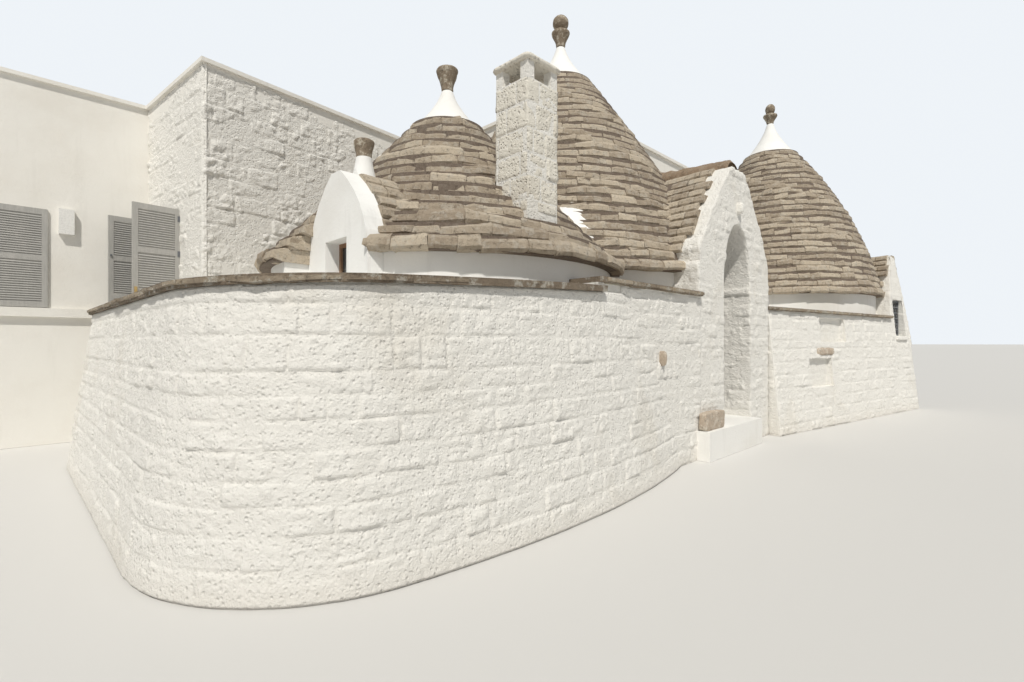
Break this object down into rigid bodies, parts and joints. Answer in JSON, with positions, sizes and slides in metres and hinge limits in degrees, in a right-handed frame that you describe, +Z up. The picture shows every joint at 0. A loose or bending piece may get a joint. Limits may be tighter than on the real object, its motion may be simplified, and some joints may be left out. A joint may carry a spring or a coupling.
{
  "type": "stone house",
  "caption": "Hollow dry-stone house with conical corbelled roofs, an arched doorway gable, battered lime-washed walls and a flat-roofed block behind.",
  "frame": {"origin": "middle of the doorway in the entrance gable's front face, on the ground", "axes": "+X along the front to the right, +Y into the building, +Z up"},
  "size_m": [20.0705, 12.7874, 7.94],
  "materials": {
    "limewash": "rough lime-washed rubble",
    "chimney_lime": "pitted lime-washed slab",
    "coping_stone": "rough weathered slabs",
    "roof_stone": "split limestone slabs, weathered",
    "ridge_mortar": "rough brown mortar",
    "finial_stone": "carved stone with lichen",
    "brown_stone": "rough brown stone",
    "white_lime": "smooth lime plaster",
    "plaster": "smooth lime plaster",
    "block_plaster": "smooth wall plaster",
    "block_coping": "cream stone",
    "shutter_paint": "painted, satin",
    "window_paint": "painted, satin",
    "lamp_white": "matt white",
    "brown_wood": "varnished",
    "grille_metal": "weathered paint"
  },
  "bodies": {
    "root": {"terrace_left_wall": "limewash", "terrace_corner_wall": "limewash", "terrace_front_wall": "limewash", "terrace_rear_wall": "limewash", "terrace_coping": "coping_stone", "terrace_deck": "plaster", "entrance_wall": "limewash", "entrance_coping": "coping_stone", "gable_left_pier": "limewash", "gable_right_pier": "limewash", "gable_head": "limewash", "door_sill": "plaster", "step_block": "brown_stone", "face_stones": "brown_stone", "entrance_roof": "roof_stone", "entrance_roof_sides": "plaster", "entrance_ridge": "ridge_mortar", "right_wall": "limewash", "right_coping": "coping_stone", "window_gable": "limewash", "window_grille": "grille_metal", "window_sill": "brown_stone", "end_roof": "roof_stone", "end_wall": "limewash", "yard_wall": "limewash", "first_drum": "plaster", "middle_drum": "plaster", "right_drum": "plaster", "first_cone": "roof_stone", "middle_cone": "roof_stone", "right_cone": "roof_stone", "first_cap": "white_lime", "middle_cap": "white_lime", "right_cap": "white_lime", "first_finial": "finial_stone", "middle_finial": "finial_stone", "right_finial": "finial_stone", "dormer_front": "white_lime", "dormer_window": "brown_wood", "dormer_roof": "roof_stone", "dormer_pinnacle": "white_lime", "dormer_finial": "finial_stone", "chimney_stack": "limewash", "chimney_cap": "chimney_lime", "tall_front_wall": "limewash", "tall_left_wall": "limewash", "block_front_wall": "block_plaster", "block_side_wall": "block_plaster", "block_right_wall": "block_plaster", "block_rear_wall": "block_plaster", "wing_front_wall": "block_plaster", "wing_left_wall": "block_plaster", "roof_slab": "block_plaster", "roof_coping": "block_coping", "string_course": "block_plaster", "upper_floor": "block_plaster", "block_windows": "window_paint", "window_shutters": "shutter_paint", "wing_shutter": "shutter_paint", "wall_lamp": "lamp_white"}
  },
  "joints": []
}
